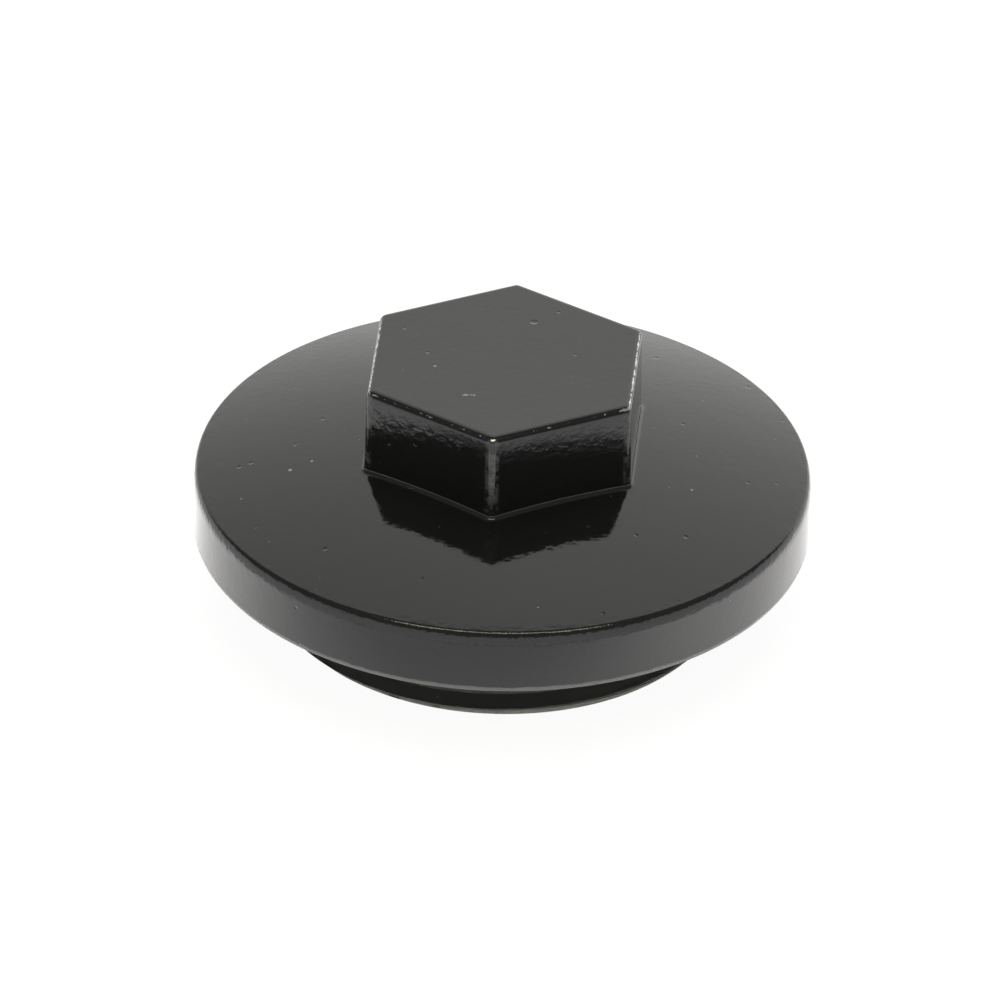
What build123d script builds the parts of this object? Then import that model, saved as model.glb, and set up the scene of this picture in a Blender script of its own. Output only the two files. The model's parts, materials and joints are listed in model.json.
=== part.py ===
"""Threaded adjuster plug: a die-cast screw-in cap with a hexagon, a domed flange and a rubber ring.

Millimetres. The origin is the middle of the threaded end, and Z points up to the hexagon.
"""

import os
from math import radians, sqrt, tan

from build123d import *

# Threaded spigot: its outside is at the crests of a metric fine thread
thread_diameter = 30.0
thread_pitch = 1.5
spigot_length = 5.2
end_chamfer = 0.95

# Relief between the thread and the shoulder, where the thread-cutting tool runs out
relief_clearance = 0.18
relief_width = 0.8
relief_flank = 30.0
relief_round = 0.25

# Rubber ring, and its groove between the shoulder and the rim
ring_thickness = 3.0
ring_proud = 0.9
ring_clearance = 0.02
shoulder_step = 0.4
shoulder_chamfer = 0.2
groove_clearance = 0.25
groove_corner_round = 0.4
groove_mouth_chamfer = 0.2

# Flange: an upright rim outside the groove, and the dome over it
rim_wall = 1.08
rim_height = 4.4
rim_foot_round = 0.5
rim_top_round = 1.2
dome_rise = 2.9

# Hexagon, cast with draft: the distance across its flats is measured at its foot
hex_across_flats = 17.0
hex_height = 5.9
hex_draft = 1.0
hex_corner_round = 0.5
hex_top_round = 0.45
hex_foot_round = 0.3

# Hollow inside, cast open at the threaded end
spigot_wall = 1.9
bore_draft = 1.0
bore_mouth_chamfer = 0.4
bore_corner_round = 1.2
dome_wall = 3.2
pocket_diameter = 10.0
pocket_draft = 2.0
pocket_roof = 3.0
pocket_mouth_round = 0.8
pocket_corner_round = 1.2

# Radii, from the thread outwards. An external ISO thread is 0.6134 of its pitch deep.
thread_radius = thread_diameter / 2
relief_depth = 0.6134 * thread_pitch + relief_clearance
relief_radius = thread_radius - relief_depth
bore_radius = relief_radius - spigot_wall
shoulder_radius = thread_radius + shoulder_step
ring_inside = shoulder_radius + ring_clearance
groove_radius = ring_inside + ring_thickness + groove_clearance
flange_radius = groove_radius + rim_wall

# Heights, from the threaded end upwards
relief_floor = spigot_length - relief_width
relief_foot = relief_floor - relief_depth * tan(radians(relief_flank))
groove_roof = spigot_length + ring_thickness - ring_proud
dome_foot = spigot_length + rim_height
dome_top = dome_foot + dome_rise

# The dome is part of a sphere. The hexagon's foot is where its corners meet it.
dome_radius = (flange_radius**2 + dome_rise**2) / (2 * dome_rise)
dome_centre = dome_top - dome_radius
hex_corner_radius = hex_across_flats / sqrt(3)
hex_foot = dome_centre + sqrt(dome_radius**2 - hex_corner_radius**2)
hex_top = hex_foot + hex_height


def dome_height(radius, wall=0.0):
    """Height of the dome's outside at a radius, or of its inside a wall's thickness below."""
    return dome_centre + sqrt((dome_radius - wall) ** 2 - radius**2)


def turned(outline, arcs, rounds, chamfers):
    """Turn a closed half section about Z.

    The outline gives each corner's name, radius and height, in order. An arc through the given
    place starts at the corner of its name, and the other sides are straight.
    """
    corners = list(outline.items())
    sides = []
    for (name, start), (_, end) in zip(corners, corners[1:] + corners[:1]):
        if name in arcs:
            sides.append(ThreePointArc(start, arcs[name], end))
        else:
            sides.append(Line(start, end))
    section = make_face(sides)
    for finish, sizes in ((fillet, rounds), (chamfer, chamfers)):
        for name, size in sizes.items():
            corner = section.vertices().sort_by_distance(outline[name])[0]
            section = finish(corner, size)
    return revolve(Plane.XZ * section, Axis.Z)


def outside():
    """The casting's turned outside: spigot, relief, shoulder, groove, rim and dome."""
    outline = {
        "axis at the end": (0, 0),
        "end edge": (thread_radius - end_chamfer, 0),
        "first crest": (thread_radius, end_chamfer),
        "last crest": (thread_radius, relief_foot),
        "relief floor": (relief_radius, relief_floor),
        "relief corner": (relief_radius, spigot_length),
        "shoulder edge": (shoulder_radius, spigot_length),
        "groove inner corner": (shoulder_radius, groove_roof),
        "groove outer corner": (groove_radius, groove_roof),
        "groove mouth": (groove_radius, spigot_length),
        "rim foot": (flange_radius, spigot_length),
        "rim top": (flange_radius, dome_foot),
        "dome top": (0, dome_top),
    }
    arcs = {"rim top": (flange_radius / 2, dome_height(flange_radius / 2))}
    rounds = {
        "relief floor": relief_round,
        "relief corner": relief_round,
        "groove inner corner": groove_corner_round,
        "groove outer corner": groove_corner_round,
        "rim foot": rim_foot_round,
        "rim top": rim_top_round,
    }
    chamfers = {
        "shoulder edge": shoulder_chamfer,
        "groove mouth": groove_mouth_chamfer,
    }
    return turned(outline, arcs, rounds, chamfers)


def hollow():
    """The space inside: a drafted bore, a ceiling that follows the dome, and the hexagon's pocket."""
    ceiling_height = dome_height(bore_radius, dome_wall)
    ceiling_radius = bore_radius - (ceiling_height - bore_mouth_chamfer) * tan(radians(bore_draft))
    pocket_radius = pocket_diameter / 2
    pocket_mouth = dome_height(pocket_radius, dome_wall)
    pocket_top = hex_top - pocket_roof
    pocket_narrowing = (pocket_top - pocket_mouth) * tan(radians(pocket_draft))
    outline = {
        "axis at the end": (0, 0),
        "bore mouth": (bore_radius + bore_mouth_chamfer, 0),
        "bore foot": (bore_radius, bore_mouth_chamfer),
        "bore corner": (ceiling_radius, ceiling_height),
        "pocket mouth": (pocket_radius, pocket_mouth),
        "pocket corner": (pocket_radius - pocket_narrowing, pocket_top),
        "axis in the pocket": (0, pocket_top),
    }
    middle = (ceiling_radius + pocket_radius) / 2
    arcs = {"bore corner": (middle, dome_height(middle, dome_wall))}
    rounds = {
        "bore corner": bore_corner_round,
        "pocket mouth": pocket_mouth_round,
        "pocket corner": pocket_corner_round,
    }
    return turned(outline, arcs, rounds, {})


def hexagon():
    """The drafted hexagon with a corner towards +Y, and a straight root that reaches into the dome."""
    outline = RegularPolygon(hex_across_flats / 2, 6, major_radius=False, rotation=30)
    outline = Pos(0, 0, hex_foot) * fillet(outline.vertices(), hex_corner_round)
    head = extrude(outline, hex_height, taper=hex_draft)
    head = fillet(head.edges().group_by(Axis.Z)[-1], hex_top_round)
    return head + extrude(outline, -dome_wall / 2)


def plug_body():
    """One casting: the turned outside and the hexagon, blended at its foot, less the hollow."""
    body = outside() + hexagon()
    foot_edges = body.edges().filter_by_position(Axis.Z, hex_foot, dome_top, (False, False))
    return fillet(foot_edges, hex_foot_round) - hollow()


def sealing_ring():
    """The rubber ring, round the shoulder and up against the roof of its groove."""
    tube = ring_thickness / 2
    height = groove_roof - ring_clearance - tube
    return Pos(0, 0, height) * Torus(ring_inside + tube, tube)


os.makedirs("parts", exist_ok=True)
for piece in (plug_body, sealing_ring):
    export_step(piece(), f"parts/{piece.__name__}.step")
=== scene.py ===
"""A threaded adjuster plug, coated gloss black, standing on its threaded end on a white table."""

import json
import math

import bmesh
import bpy
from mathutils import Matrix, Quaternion, Vector


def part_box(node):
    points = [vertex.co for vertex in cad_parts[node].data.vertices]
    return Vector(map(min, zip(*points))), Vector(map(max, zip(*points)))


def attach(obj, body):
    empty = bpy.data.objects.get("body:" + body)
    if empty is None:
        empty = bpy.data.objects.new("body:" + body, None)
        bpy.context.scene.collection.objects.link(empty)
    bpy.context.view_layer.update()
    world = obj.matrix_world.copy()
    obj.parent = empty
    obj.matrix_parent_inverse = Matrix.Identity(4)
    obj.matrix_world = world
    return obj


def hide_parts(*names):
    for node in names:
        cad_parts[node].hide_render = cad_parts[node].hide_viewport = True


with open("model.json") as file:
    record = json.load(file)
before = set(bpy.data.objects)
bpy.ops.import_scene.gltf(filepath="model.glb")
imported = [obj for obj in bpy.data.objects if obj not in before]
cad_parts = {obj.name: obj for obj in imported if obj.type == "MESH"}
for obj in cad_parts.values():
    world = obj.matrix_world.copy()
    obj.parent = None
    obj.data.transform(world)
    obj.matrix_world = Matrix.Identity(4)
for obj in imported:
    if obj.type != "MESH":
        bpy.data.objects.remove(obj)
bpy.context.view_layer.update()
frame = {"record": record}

# The plug's body: one aluminium die-casting with a hexagon, a domed flange and a spigot.
# Its groove, relief and end are turned, its thread is cut, and it is coated black all over.

mm = 0.001
mounts = {mount["name"]: mount for mount in frame["record"]["mounts"]}
body_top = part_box("plug_body")[1]

thread_radius = mounts["thread"]["dims"]["r_mm"] * mm
thread_length = mounts["thread"]["dims"]["length_mm"] * mm
thread_middle = mounts["thread"]["pos_m"][2]
thread_pitch = 1.5 * mm
thread_depth = 0.6134 * thread_pitch
thread_crest = thread_pitch / 8
crest_height_in_front = 0.9 * mm
spigot_length = mounts["flange_seat"]["pos_m"][2]
end_chamfer = thread_middle - thread_length / 2
relief_foot = thread_middle + thread_length / 2
relief_floor = spigot_length - 0.8 * mm
relief_radius = thread_radius - 1.1 * mm
relief_round = 0.25 * mm

shoulder_radius = thread_radius + 0.4 * mm
ring_clearance = 0.02 * mm
ring_thickness = 3.0 * mm
ring_proud = 0.9 * mm
groove_radius = shoulder_radius + ring_clearance + ring_thickness + 0.25 * mm
groove_roof = spigot_length + ring_thickness - ring_proud
groove_round = 0.4 * mm
turned_chamfer = 0.2 * mm

flange_radius = body_top.x
dome_foot = spigot_length + 4.4 * mm
dome_rise = 2.9 * mm
rim_foot_round = 0.5 * mm
rim_top_round = 1.2 * mm
dome_radius = (flange_radius**2 + dome_rise**2) / (2 * dome_rise)
dome_centre = dome_foot + dome_rise - dome_radius
dome_wall = 3.2 * mm

hex_half_flats = 8.5 * mm
hex_corner_radius = hex_half_flats / math.cos(math.radians(30))
hex_draft = math.radians(1)
hex_corner_round = 0.5 * mm
hex_top_round = 0.45 * mm
hex_foot_round = 0.3 * mm
hex_foot = dome_centre + math.sqrt(dome_radius**2 - hex_corner_radius**2)
hex_top = body_top.z
side_strip = 1.5 * hex_top_round
side_rubbing = 1.0
front_rubbing = 0.82
corner_rubbing = 1.15
corner_sharpness = 40
most_rubbed_tilt = math.radians(48)

bore_radius = 12.0 * mm
bore_draft = math.radians(1)
bore_chamfer = 0.4 * mm
bore_round = 1.2 * mm
pocket_radius = 5.0 * mm
pocket_draft = math.radians(2)
pocket_roof = hex_top - 3.0 * mm
pocket_mouth_round = 0.8 * mm
pocket_round = 1.2 * mm

columns = 192
row_height = 0.04 * mm
dome_join = 13.0 * mm
dome_rows = 20
join_rows = 10
ceiling_rows = 5
round_segments = 6
corner_segments = 6
top_inset = hex_top_round / 15
merge_distance = 0.001 * mm
crease = math.radians(32)


def dome_height(radius, wall=0.0):
    """Height of the dome's outside at a radius, or of its inside a wall's thickness below."""
    return dome_centre + math.sqrt((dome_radius - wall) ** 2 - radius**2)


def finish_corner(bm, point, round_size, chamfer_size):
    """Round or chamfer a corner of the section. A round's offset is its tangent length."""
    before, after = (edge.other_vert(point).co - point.co for edge in point.link_edges)
    offset = chamfer_size or round_size / math.tan(before.angle(after) / 2)
    bmesh.ops.bevel(
        bm,
        geom=[point],
        offset=offset,
        offset_type="OFFSET",
        segments=1 if chamfer_size else round_segments,
        profile=0.5,
        affect="VERTICES",
        material=-1,
    )


def draw_section(bm):
    """Draw half the turned section as a wire, from the dome over the rim and bore to the axis."""
    ceiling_height = dome_height(bore_radius, dome_wall)
    ceiling_radius = bore_radius - (ceiling_height - bore_chamfer) * math.tan(bore_draft)
    pocket_mouth = dome_height(pocket_radius, dome_wall)
    pocket_end = pocket_radius - (pocket_roof - pocket_mouth) * math.tan(pocket_draft)
    dome = [dome_join + (flange_radius - dome_join) * row / dome_rows for row in range(dome_rows)]
    ceiling_step = (pocket_radius - ceiling_radius) / ceiling_rows
    ceiling = [ceiling_radius + ceiling_step * row for row in range(1, ceiling_rows)]
    # Each corner has a radius, a height, and the size of its round and of its chamfer.
    corners = [(radius, dome_height(radius), 0, 0) for radius in dome]
    corners += [
        (flange_radius, dome_foot, rim_top_round, 0),
        (flange_radius, spigot_length, rim_foot_round, 0),
        (groove_radius, spigot_length, 0, turned_chamfer),
        (groove_radius, groove_roof, groove_round, 0),
        (shoulder_radius, groove_roof, groove_round, 0),
        (shoulder_radius, spigot_length, 0, turned_chamfer),
        (relief_radius, spigot_length, relief_round, 0),
        (relief_radius, relief_floor, relief_round, 0),
        (thread_radius, relief_foot, 0, 0),
        (thread_radius, end_chamfer, 0, 0),
        (thread_radius - end_chamfer, 0, 0, 0),
        (bore_radius + bore_chamfer, 0, 0, 0),
        (bore_radius, bore_chamfer, 0, 0),
        (ceiling_radius, ceiling_height, bore_round, 0),
    ]
    corners += [(radius, dome_height(radius, dome_wall), 0, 0) for radius in ceiling]
    corners += [
        (pocket_radius, pocket_mouth, pocket_mouth_round, 0),
        (pocket_end, pocket_roof, pocket_round, 0),
        (0, pocket_roof, 0, 0),
    ]
    points = [bm.verts.new((radius, 0, height)) for radius, height, _, _ in corners]
    for start, end in zip(points, points[1:]):
        bm.edges.new((start, end))
    for point, (_, _, round_size, chamfer_size) in zip(points, corners):
        if round_size or chamfer_size:
            finish_corner(bm, point, round_size, chamfer_size)


def thread_cut(height, angle):
    """Depth of the right-handed thread's cut at a place on the spigot: crest, flank or root."""
    turns = (height - crest_height_in_front) / thread_pitch - (angle + math.pi / 2) / math.tau
    from_crest = abs(turns - round(turns)) * thread_pitch
    flank = (from_crest - thread_crest / 2) / math.tan(math.radians(30))
    return min(max(flank, 0), thread_depth)


def turn_body(bm):
    """Turn the section into the body without its hexagon, and cut the thread into the spigot."""
    draw_section(bm)
    threaded = [
        edge
        for edge in bm.edges
        if max(vert.co.z for vert in edge.verts) <= relief_floor + relief_round
        and min(vert.co.x for vert in edge.verts) >= relief_radius - relief_round / 2
        and edge.calc_length() > row_height
    ]
    for edge in threaded:
        bmesh.ops.subdivide_edges(bm, edges=[edge], cuts=int(edge.calc_length() / row_height))
    bmesh.ops.spin(
        bm,
        geom=bm.verts[:] + bm.edges[:],
        cent=(0, 0, 0),
        axis=(0, 0, 1),
        angle=math.tau,
        steps=columns,
        use_merge=True,
    )
    bmesh.ops.remove_doubles(bm, verts=bm.verts[:], dist=merge_distance)
    for vert in bm.verts:
        radius = vert.co.xy.length
        if vert.co.z < relief_floor and radius > relief_radius:
            angle = math.atan2(vert.co.y, vert.co.x)
            cut_radius = thread_radius - thread_cut(vert.co.z, angle)
            if cut_radius < radius:
                vert.co.xy *= cut_radius / radius


def round_edges(bm, edges, size, corner_angle):
    """Round edges whose two faces meet at corner_angle, and return the rounds' middle points."""
    rounds = bmesh.ops.bevel(
        bm,
        geom=edges,
        offset=size / math.tan(corner_angle / 2),
        offset_type="OFFSET",
        segments=corner_segments,
        profile=0.5,
        affect="EDGES",
        material=-1,
    )
    faces = set(rounds["faces"])
    return [vert for vert in rounds["verts"] if faces.issuperset(vert.link_faces)]


def rubbing(point, top_half_flats):
    """How much the round of the hexagon's top edge is rubbed at a point: most midway round it."""
    on_side = abs(point.x) > top_half_flats - side_strip
    from_corner = math.atan2(point.y, point.x) - math.pi / 2
    at_corner = max(math.cos(6 * from_corner), 0) ** corner_sharpness
    tilt = math.acos(max(1 - (hex_top - point.z) / hex_top_round, 0))
    midway = 1 - abs(tilt / most_rubbed_tilt - 1)
    return midway * max(side_rubbing if on_side else front_rubbing, corner_rubbing * at_corner)


def raise_hexagon(bm, worn):
    """Draw the hexagon on the dome, pull its walls up, close its top and round its edges."""
    join_loop = [edge for edge in bm.edges if edge.is_boundary]
    outline = bmesh.ops.create_circle(bm, segments=6, radius=hex_corner_radius)["verts"]
    bmesh.ops.bevel(
        bm,
        geom=outline,
        offset=hex_corner_round * math.tan(math.radians(30)),
        offset_type="OFFSET",
        segments=corner_segments,
        profile=0.5,
        affect="VERTICES",
        material=-1,
    )
    flats = [edge for edge in bm.edges if edge.is_wire and edge.calc_length() > hex_half_flats / 2]
    bmesh.ops.subdivide_edges(bm, edges=flats, cuts=columns // 6 - corner_segments - 1)
    foot_loop = [edge for edge in bm.edges if edge.is_wire]
    for vert in {vert for edge in foot_loop for vert in edge.verts}:
        vert.co.z = dome_height(vert.co.xy.length)
    walls = bmesh.ops.extrude_edge_only(bm, edges=foot_loop)["geom"]
    rising = [item for item in walls if isinstance(item, bmesh.types.BMVert)]
    taper = 1 - (hex_top - hex_foot) * math.tan(hex_draft) / hex_half_flats
    for vert in rising:
        vert.co = (vert.co.x * taper, vert.co.y * taper, hex_top)
    top_height = rising[0].co.z
    top_loop = [
        edge
        for edge in walls
        if isinstance(edge, bmesh.types.BMEdge)
        and all(vert.co.z == top_height for vert in edge.verts)
    ]
    bmesh.ops.bridge_loops(bm, edges=foot_loop + join_loop)
    bmesh.ops.edgeloop_fill(bm, edges=top_loop)
    bmesh.ops.recalc_face_normals(bm, faces=bm.faces[:])
    dome_slope = math.asin(hex_half_flats / dome_radius)
    round_edges(bm, foot_loop, hex_foot_round, math.pi / 2 + hex_draft + dome_slope)
    for vert in round_edges(bm, top_loop, hex_top_round, math.pi / 2 + hex_draft):
        vert[worn] = rubbing(vert.co, hex_half_flats * taper)
    top = max(bm.faces, key=lambda face: len(face.verts))
    bmesh.ops.inset_region(bm, faces=[top], thickness=top_inset)
    bmesh.ops.poke(bm, faces=[top])
    rungs = [
        edge
        for edge in bm.edges
        if min(vert.co.xy.length for vert in edge.verts) < dome_join - hex_foot_round
        and max(vert.co.xy.length for vert in edge.verts) > dome_join - merge_distance
        and abs(edge.verts[0].co.xy.length - edge.verts[1].co.xy.length) > hex_foot_round
        and min(vert.co.z for vert in edge.verts) > dome_foot
    ]
    laid = bmesh.ops.subdivide_edges(bm, edges=rungs, cuts=join_rows - 1, use_grid_fill=True)
    for item in laid["geom_inner"]:
        if isinstance(item, bmesh.types.BMVert):
            item.co.z = dome_height(item.co.xy.length)


def place_piece(bm, name):
    """Put a finished bmesh into the scene as an object of its own."""
    mesh = bpy.data.meshes.new(name)
    bm.to_mesh(mesh)
    bm.free()
    piece = bpy.data.objects.new(name, mesh)
    bpy.context.collection.objects.link(piece)
    return piece


bm = bmesh.new()
worn = bm.verts.layers.float.new("worn")
turn_body(bm)
raise_hexagon(bm, worn)
bmesh.ops.recalc_face_normals(bm, faces=bm.faces[:])
body = place_piece(bm, "plug_body_coated")
body.data.shade_smooth()
body.data.set_sharp_from_angle(angle=crease)
even_normals = body.modifiers.new("even_normals", "WEIGHTED_NORMAL")
even_normals.keep_sharp = True
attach(body, "root")
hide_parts("plug_body")


def feed(tree, node, inputs):
    """Give each of a node's inputs a value, or the link that feeds it."""
    for name, value in inputs.items():
        if isinstance(value, bpy.types.NodeSocket):
            tree.links.new(value, node.inputs[name])
        else:
            node.inputs[name].default_value = value


def put_node(tree, kind, inputs, **settings):
    """Add a node with its settings and its inputs."""
    node = tree.nodes.new(kind)
    for name, value in settings.items():
        setattr(node, name, value)
    feed(tree, node, inputs)
    return node


def calculate(tree, operation, *values):
    """Add a Math node and return its result."""
    return put_node(tree, "ShaderNodeMath", dict(enumerate(values)), operation=operation).outputs[0]


def product(tree, first, *others):
    """Multiply masks or levels, so that a mask keeps only what all of them cover."""
    for other in others:
        first = calculate(tree, "MULTIPLY", first, other)
    return first


def fade(tree, value, start, end, low=0.0, high=1.0):
    """Turn a value smoothly from low at start to high at end."""
    inputs = {"Value": value, "From Min": start, "From Max": end, "To Min": low, "To Max": high}
    faded = put_node(tree, "ShaderNodeMapRange", inputs, interpolation_type="SMOOTHSTEP")
    return faded.outputs["Result"]


def tint(tree, mask, below, above):
    """Mix from one colour to another by a mask. The node's colours are inputs 6 and 7, output 2."""
    inputs = {"Factor": mask, 6: below, 7: above}
    return put_node(tree, "ShaderNodeMix", inputs, data_type="RGBA").outputs[2]


def noise(tree, place, scale, detail, rough=0.5):
    """Add fractal noise and return its value, which is 0.5 on average."""
    inputs = {"Vector": place, "Scale": scale, "Detail": detail, "Roughness": rough}
    return put_node(tree, "ShaderNodeTexNoise", inputs).outputs["Fac"]


def measure(tree, operation, first, second=(0, 0, 0)):
    """Add a Vector Math node and return its value, such as a length or a distance."""
    node = put_node(tree, "ShaderNodeVectorMath", {0: first, 1: second}, operation=operation)
    return node.outputs["Value"]


def make_spots():
    """Build the group that scatters uneven round spots, for pits and for bits of dust."""
    group = bpy.data.node_groups.new("scattered_spots", "ShaderNodeTree")
    group.interface.new_socket("Vector", in_out="INPUT", socket_type="NodeSocketVector")
    group.interface.new_socket("Scale", in_out="INPUT", socket_type="NodeSocketFloat")
    group.interface.new_socket("Size", in_out="INPUT", socket_type="NodeSocketFloat")
    group.interface.new_socket("Mask", in_out="OUTPUT", socket_type="NodeSocketFloat")
    given = group.nodes.new("NodeGroupInput").outputs
    place = given["Vector"]
    scale = given["Scale"]
    fine = {"Vector": place, "Scale": calculate(group, "MULTIPLY", scale, 6), "Detail": 1}
    wobble = put_node(group, "ShaderNodeTexNoise", fine).outputs["Color"]
    inputs = {0: wobble, "Scale": calculate(group, "DIVIDE", 0.16, scale)}
    shift = put_node(group, "ShaderNodeVectorMath", inputs, operation="SCALE").outputs[0]
    bent = put_node(group, "ShaderNodeVectorMath", {0: place, 1: shift}, operation="ADD").outputs[0]
    cells = put_node(group, "ShaderNodeTexVoronoi", {"Vector": bent, "Scale": scale}).outputs
    chance = put_node(group, "ShaderNodeSeparateColor", {"Color": cells["Color"]}).outputs[0]
    radius = calculate(group, "MULTIPLY", chance, given["Size"])
    mask = fade(group, cells["Distance"], radius, calculate(group, "MULTIPLY", radius, 0.4))
    put_node(group, "NodeGroupOutput", {"Mask": mask})
    return group


def scatter(tree, place, scale, size):
    """Place the spots group with its own values and return its mask."""
    inputs = {"Vector": place, "Scale": scale, "Size": size}
    return put_node(tree, "ShaderNodeGroup", inputs, node_tree=spots).outputs["Mask"]


def marks_at(tree, place, marks):
    """Mask a few single marks, each given by its place and radius in millimetres."""
    mask = None
    for *spot, radius in marks:
        centre = [axis * mm for axis in spot]
        away = measure(tree, "DISTANCE", place, centre)
        mark = fade(tree, away, start=radius * mm, end=radius * mm * 0.45)
        mask = mark if mask is None else calculate(tree, "MAXIMUM", mask, mark)
    return mask


def make_material(name):
    """Make a material, and return it with its node tree and the piece's own coordinates."""
    material = bpy.data.materials.new(name)
    material.use_nodes = True
    tree = material.node_tree
    return material, tree, tree.nodes.new("ShaderNodeTexCoord").outputs["Object"]


spots = make_spots()
coating, tree, place = make_material("black_coating")
height = put_node(tree, "ShaderNodeSeparateXYZ", {"Vector": place}).outputs["Z"]
flat = put_node(tree, "ShaderNodeVectorMath", {0: place, 1: (1, 1, 0)}, operation="MULTIPLY")
from_axis = measure(tree, "LENGTH", flat.outputs[0])
peel = noise(tree, place, scale=2200, detail=3)
ripple = noise(tree, place, scale=450, detail=2)
uneven = noise(tree, place, scale=1300, detail=4, rough=0.65)
grain = noise(tree, place, scale=2600, detail=3, rough=0.7)
pits = scatter(tree, place, scale=620, size=0.1)
dust = scatter(tree, place, scale=800, size=0.05)
craters = marks_at(
    tree,
    place,
    [
        (1.45, 4.86, 17.69, 0.3),
        (-15.89, -2.78, 10.58, 0.17),
        (-16.63, -3.04, 10.39, 0.17),
        (-11.71, 1.61, 11.48, 0.15),
        (14.99, 11.19, 9.91, 0.2),
        (8.89, 12.77, 10.72, 0.2),
        (11.26, 3.64, 11.47, 0.16),
        (12.33, -8.81, 10.81, 0.18),
        (9.21, -9.56, 11.21, 0.15),
        (-10.23, -12.45, 10.58, 0.18),
    ],
)
rubs = marks_at(
    tree,
    place,
    [
        (-2.25, -4.5, 17.69, 0.16),
        (-2.1, -4.49, 17.69, 0.14),
        (-1.95, -4.48, 17.69, 0.12),
        (-1.78, -4.47, 17.69, 0.11),
        (-1.6, -4.46, 17.69, 0.1),
        (-4.37, -1.23, 17.69, 0.13),
        (-11.94, -3.36, 11.37, 0.12),
        (-16.14, -6.62, 10.25, 0.1),
        (-13.26, -4.14, 11.08, 0.16),
        (12.36, -3.91, 11.27, 0.12),
    ],
)
rubs = product(tree, rubs, fade(tree, grain, start=0.35, end=0.6))
flecks = calculate(tree, "MAXIMUM", dust, rubs)

# Metal shows where the hexagon's top edge is rubbed, and on the chamfer and face of the end,
# whose chalky white is also a painted highlight in place of the bright table it mirrors.
rubbed = put_node(tree, "ShaderNodeAttribute", {}, attribute_name="worn").outputs["Fac"]
edge_wear = fade(tree, calculate(tree, "ADD", rubbed, grain), start=1.3, end=1.44)
ragged = calculate(tree, "MULTIPLY_ADD", grain, 0.3 * mm, height)
patchy = noise(tree, place, scale=500, detail=3)
end_wear_and_highlight = product(
    tree,
    fade(tree, ragged, start=end_chamfer * 0.8, end=end_chamfer * 0.4),
    fade(tree, patchy, start=0.33, end=0.46),
)
bare_and_highlight = calculate(tree, "MAXIMUM", edge_wear, end_wear_and_highlight)

# Wrenches have scuffed the hexagon's walls below the top edge, and its upright corners.
from_top = calculate(tree, "SUBTRACT", hex_top, height)
wrench_depth = calculate(tree, "MULTIPLY_ADD", uneven, 1.6 * mm, 0.25 * mm)
wrench = product(
    tree,
    fade(tree, calculate(tree, "SUBTRACT", from_top, wrench_depth), start=0.1 * mm, end=-0.1 * mm),
    fade(tree, from_top, start=0.35 * mm, end=0.45 * mm),
)
corner_lean = math.tan(hex_draft) / math.cos(math.radians(30))
leaning = calculate(tree, "MULTIPLY_ADD", height, corner_lean, from_axis)
corner_line = hex_corner_radius + hex_foot * corner_lean
corners = product(
    tree,
    fade(tree, leaning, start=corner_line - 0.3 * mm, end=corner_line - 0.16 * mm),
    fade(tree, height, start=hex_foot + 0.3 * mm, end=hex_foot + 0.6 * mm),
    fade(tree, uneven, start=0.4, end=0.58),
)
scuffs = calculate(tree, "MAXIMUM", wrench, corners)

# A lighter, rougher grey at the rim's foot is a painted highlight, in place of the bright table
# that the foot's round mirrors.
foot_line = spigot_length + 0.6 * mm
rim_foot_highlight = product(
    tree,
    fade(
        tree,
        calculate(tree, "MULTIPLY_ADD", uneven, 0.3 * mm, height),
        start=foot_line + 0.1 * mm,
        end=foot_line,
    ),
    fade(tree, from_axis, start=groove_radius + 0.4 * mm, end=groove_radius + 0.5 * mm),
)

# The coating lies rougher on the round between the dome and the rim, and dull on the spigot,
# where its lighter grey is also a painted reflection of the table close round it.
rim_edge = product(
    tree,
    fade(tree, from_axis, start=flange_radius - 0.9 * mm, end=flange_radius - 0.5 * mm),
    fade(tree, height, start=dome_foot - 1.2 * mm, end=dome_foot - 0.6 * mm),
)
rim_lumps = product(tree, rim_edge, calculate(tree, "SUBTRACT", uneven, 0.5))
spigot_dull_and_sheen = fade(tree, height, start=spigot_length - 0.2 * mm, end=spigot_length - 0.5 * mm)

# The spigot's grey, the rim foot's grey and the end's white are partly painted reflections.
gloss_black = (0.006, 0.006, 0.006, 1)
spigot_sheen_grey = (0.08, 0.081, 0.08, 1)
wrench_black = (0.012, 0.012, 0.014, 1)
corner_grey = (0.06, 0.06, 0.062, 1)
rim_foot_highlight_grey = (0.12, 0.12, 0.125, 1)
dust_grey = (0.25, 0.25, 0.25, 1)
chalky_metal_highlight = (0.92, 0.9, 0.87, 1)
bright_metal = (0.72, 0.71, 0.69, 1)
colour = gloss_black
for mask, tone in (
    (spigot_dull_and_sheen, spigot_sheen_grey),
    (wrench, wrench_black),
    (corners, corner_grey),
    (rim_foot_highlight, rim_foot_highlight_grey),
    (flecks, dust_grey),
    (end_wear_and_highlight, chalky_metal_highlight),
    (edge_wear, bright_metal),
):
    colour = tint(tree, mask, colour, tone)

roughness = 0.055
wear_and_highlights = calculate(tree, "MAXIMUM", bare_and_highlight, rim_foot_highlight)
for mask, added in ((flecks, 0.5), (wear_and_highlights, 0.25), (spigot_dull_and_sheen, 0.2), (scuffs, 0.05)):
    roughness = calculate(tree, "MULTIPLY_ADD", mask, added, roughness)

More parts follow.
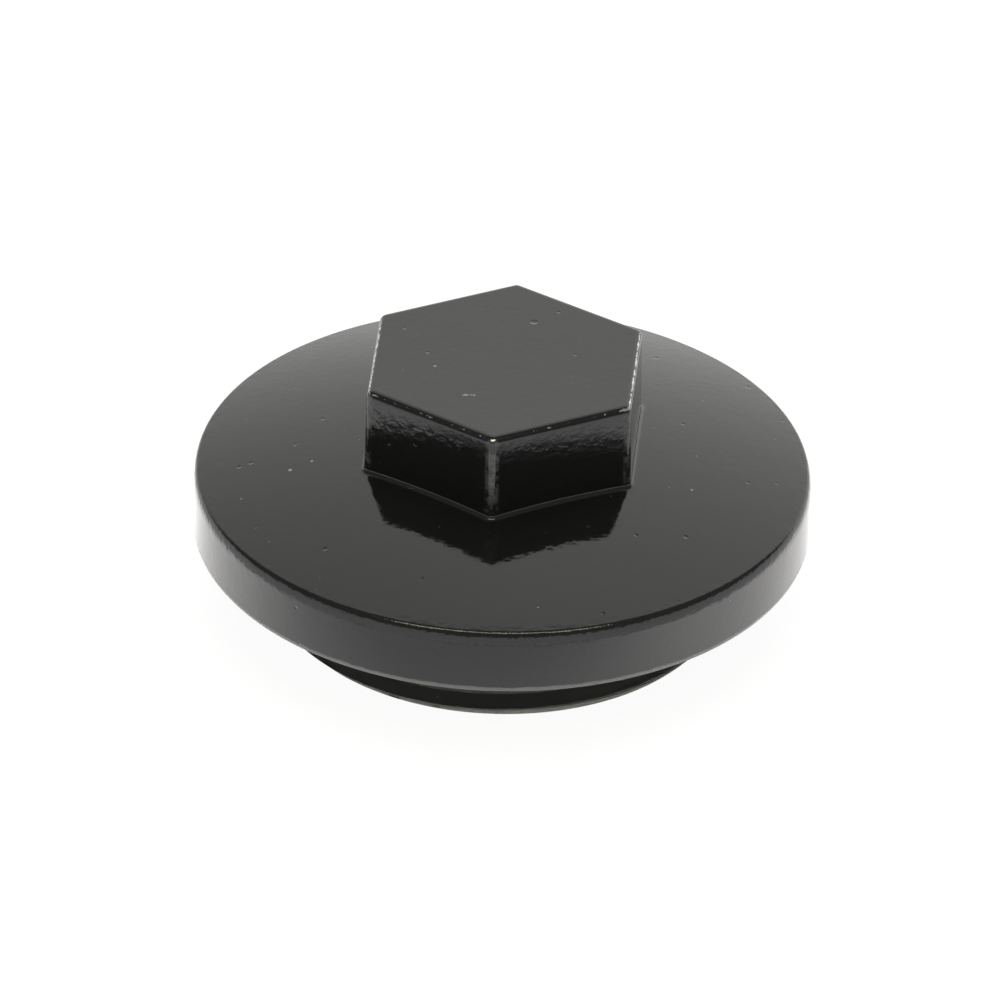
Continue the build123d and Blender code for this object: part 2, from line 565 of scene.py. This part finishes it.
# Heights in the relief are in millimetres.
relief = 0.0
for effect, rise in (
    (peel, 0.01),
    (ripple, 0.012),
    (pits, -0.03),
    (craters, -0.04),
    (rim_lumps, 0.04),
):
    relief = calculate(tree, "MULTIPLY_ADD", effect, rise, relief)
bump = put_node(tree, "ShaderNodeBump", {"Height": relief, "Distance": mm}).outputs["Normal"]
shader = tree.nodes["Principled BSDF"]
feed(tree, shader, {"Base Color": colour, "Metallic": edge_wear, "Roughness": roughness})
feed(tree, shader, {"IOR": 1.6, "Normal": bump})
body.data.materials.append(coating)

# The sealing ring: an O-ring moulded from black nitrile rubber, with a dull bloom in patches.
# It is stretched over the shoulder into the groove, where it stands proud of the flange.

ring_radius = ring_thickness / 2
ring_centre = shoulder_radius + ring_clearance + ring_radius
ring_height = groove_roof - ring_clearance - ring_radius
bm = bmesh.new()
bmesh.ops.create_circle(bm, segments=40, radius=ring_radius)
bmesh.ops.rotate(
    bm,
    verts=bm.verts[:],
    cent=(0, 0, 0),
    matrix=Quaternion((1, 0, 0), math.pi / 2).to_matrix(),
)
bmesh.ops.translate(bm, verts=bm.verts[:], vec=(ring_centre, 0, ring_height))
bmesh.ops.spin(
    bm,
    geom=bm.verts[:] + bm.edges[:],
    cent=(0, 0, 0),
    axis=(0, 0, 1),
    angle=math.tau,
    steps=columns,
    use_merge=True,
)
bmesh.ops.recalc_face_normals(bm, faces=bm.faces[:])
ring = place_piece(bm, "sealing_ring_moulded")
ring.data.shade_smooth()
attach(ring, "root")
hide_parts("sealing_ring")

rubber, tree, place = make_material("ring_rubber")
grain = noise(tree, place, scale=3000, detail=3, rough=0.6)
bloom = fade(tree, noise(tree, place, scale=300, detail=3), start=0.35, end=0.75)
dust = scatter(tree, place, scale=900, size=0.07)
rubber_black = (0.012, 0.012, 0.013, 1)
rubber_bloom = (0.03, 0.03, 0.032, 1)
rubber_dust = (0.3, 0.3, 0.3, 1)
colour = tint(tree, dust, tint(tree, bloom, rubber_black, rubber_bloom), rubber_dust)
roughness = fade(tree, grain, start=0.3, end=0.7, low=0.4, high=0.6)
bump = put_node(tree, "ShaderNodeBump", {"Height": grain, "Distance": 0.006 * mm}).outputs["Normal"]
shader = tree.nodes["Principled BSDF"]
feed(tree, shader, {"Base Color": colour, "Roughness": roughness, "Normal": bump})
ring.data.materials.append(rubber)

# The camera looks down on the plug from the photograph's place, a little to the right of one of the
# hexagon's corners. Its long lens stands well back, as the photograph's does.

camera_azimuth = math.radians(4.0)
camera_elevation = math.radians(31.95)
camera_distance = 0.7752
camera_roll = math.radians(-1.34)
camera_aim = Vector((-0.118 * mm, 0, dome_foot - 2.415 * mm))
back = Vector(
    (
        math.sin(camera_azimuth) * math.cos(camera_elevation),
        -math.cos(camera_azimuth) * math.cos(camera_elevation),
        math.sin(camera_elevation),
    )
)
lens = bpy.data.cameras.new("camera")
lens.lens = 436.6
lens.sensor_width = 36
lens.clip_start = 0.01
lens.clip_end = 10
camera = bpy.data.objects.new("camera", lens)
bpy.context.collection.objects.link(camera)
camera.location = Vector((0, 0, dome_foot)) + back * camera_distance
forward = (camera_aim - camera.location).normalized()
camera.rotation_mode = "QUATERNION"
camera.rotation_quaternion = Quaternion(forward, camera_roll) @ forward.to_track_quat("-Z", "Y")
bpy.context.scene.camera = camera

# The table: a matt white sheet, which the camera sees as plain white with a faint shadow. What
# the plug's gloss shows of it is painted: a painted shadow in front, painted light brightest close
# by and less behind, a painted dark ring round the plug, and lighter, then greyer tones beyond.

gloss_change_radius = 35.0 * mm
painted_ring_outer = 37.2 * mm
paper_white = (0.88, 0.88, 0.88, 1)
painted_shadow_front = (0.86, 0.86, 0.92, 1)
painted_light_close = (1.7, 1.7, 1.78, 1)
painted_light_behind = (1.25, 1.25, 1.28, 1)
painted_ring_tone = (0.25, 0.25, 0.27, 1)
painted_light_outer = (1.15, 1.15, 1.2, 1)
far_tone = (0.85, 0.85, 0.9, 1)

bm = bmesh.new()
bmesh.ops.create_grid(bm, x_segments=1, y_segments=1, size=1.0)
table = place_piece(bm, "table")
paper, tree, place = make_material("white_table")
tree.nodes.remove(tree.nodes["Principled BSDF"])
rays = tree.nodes.new("ShaderNodeLightPath").outputs
point = put_node(tree, "ShaderNodeSeparateXYZ", {"Vector": place}).outputs
slant = calculate(tree, "MULTIPLY_ADD", point["X"], 0.15, point["Y"])
away = calculate(tree, "MULTIPLY_ADD", point["X"], -0.01, measure(tree, "LENGTH", place))
# The ring and tones below are painted light and shade, seen only in gloss.
painted_dark_ring = product(
    tree,
    fade(tree, away, start=gloss_change_radius + 0.4 * mm, end=gloss_change_radius + 0.9 * mm),
    fade(tree, away, start=painted_ring_outer + 0.2 * mm, end=painted_ring_outer - 0.2 * mm),
)
beyond = fade(tree, away, start=gloss_change_radius - 0.5 * mm, end=gloss_change_radius + 0.5 * mm)
ground = tint(tree, fade(tree, away, start=38 * mm, end=42 * mm), painted_light_outer, far_tone)
glossy = tint(tree, fade(tree, slant, start=-35 * mm, end=-12 * mm), painted_shadow_front, painted_light_close)
glossy = tint(tree, fade(tree, slant, start=0, end=25 * mm), glossy, painted_light_behind)
glossy = tint(tree, beyond, glossy, ground)
glossy = tint(tree, painted_dark_ring, glossy, painted_ring_tone)
seen = tint(tree, rays["Is Glossy Ray"], paper_white, glossy)
matt = put_node(tree, "ShaderNodeBsdfDiffuse", {"Color": seen}).outputs[0]
glow = put_node(tree, "ShaderNodeEmission", {"Color": (1, 1, 1, 1), "Strength": 1.05}).outputs[0]
share = calculate(tree, "MULTIPLY", rays["Is Camera Ray"], 0.9)
mixed = put_node(tree, "ShaderNodeMixShader", {0: share, 1: matt, 2: glow}).outputs[0]
feed(tree, tree.nodes["Material Output"], {"Surface": mixed})
table.data.materials.append(paper)

# The light: a large softbox behind the plug, a narrow warm strip high in front of it, and a soft
# lamp above that gives no highlights. The camera itself sees white all round.

room_level = 0.2
strip_level = 5.0
softbox_colour = (1, 0.995, 0.965, 1)
strip_colour = (1, 0.95, 0.7, 1)

world = bpy.data.worlds.new("studio")
bpy.context.scene.world = world
world.use_nodes = True
tree = world.node_tree
direction = tree.nodes.new("ShaderNodeTexCoord").outputs["Generated"]


def facing(azimuth, elevation):
    """Cosine of the angle from each direction to one given in degrees from the camera's side."""
    turn = camera_azimuth + math.radians(azimuth)
    rise = math.radians(elevation)
    axis = (math.sin(turn) * math.cos(rise), -math.cos(turn) * math.cos(rise), math.sin(rise))
    return measure(tree, "DOT_PRODUCT", direction, axis)


def patch(azimuth, elevation, edge, core):
    """Mask a round patch of the sky, full within its core's angle and gone at its edge's."""
    middle = facing(azimuth, elevation)
    return fade(tree, middle, math.cos(math.radians(edge)), math.cos(math.radians(core)))


towards = put_node(tree, "ShaderNodeSeparateXYZ", {"Vector": direction}).outputs
dimmer_upwards = calculate(tree, "MULTIPLY_ADD", towards["Z"], -0.3, 1.25)
dimmer_left = calculate(tree, "MINIMUM", calculate(tree, "MULTIPLY_ADD", towards["X"], 0.5, 1), 1)
softbox = product(tree, patch(180, 12, edge=66, core=51), dimmer_upwards, dimmer_left)
off_strip = calculate(tree, "ABSOLUTE", facing(0, -40))
across = fade(tree, off_strip, math.sin(math.radians(7)), math.sin(math.radians(3)))
strip = product(tree, patch(0, 50, edge=30, core=28), across)
level = calculate(tree, "MAXIMUM", softbox, room_level)
level = calculate(tree, "MULTIPLY_ADD", strip, strip_level, level)
rays = tree.nodes.new("ShaderNodeLightPath").outputs
level = calculate(tree, "MAXIMUM", level, rays["Is Camera Ray"])
warmth = tint(tree, strip, softbox_colour, strip_colour)
colour = tint(tree, rays["Is Camera Ray"], warmth, (1, 1, 1, 1))
feed(tree, tree.nodes["Background"], {"Color": colour, "Strength": level})

fill = bpy.data.lights.new("fill", "SUN")
fill.energy = 1.7
fill.angle = math.radians(60)
fill_lamp = bpy.data.objects.new("fill", fill)
bpy.context.collection.objects.link(fill_lamp)
fill_lamp.visible_glossy = False
bpy.context.scene.view_settings.view_transform = "Standard"
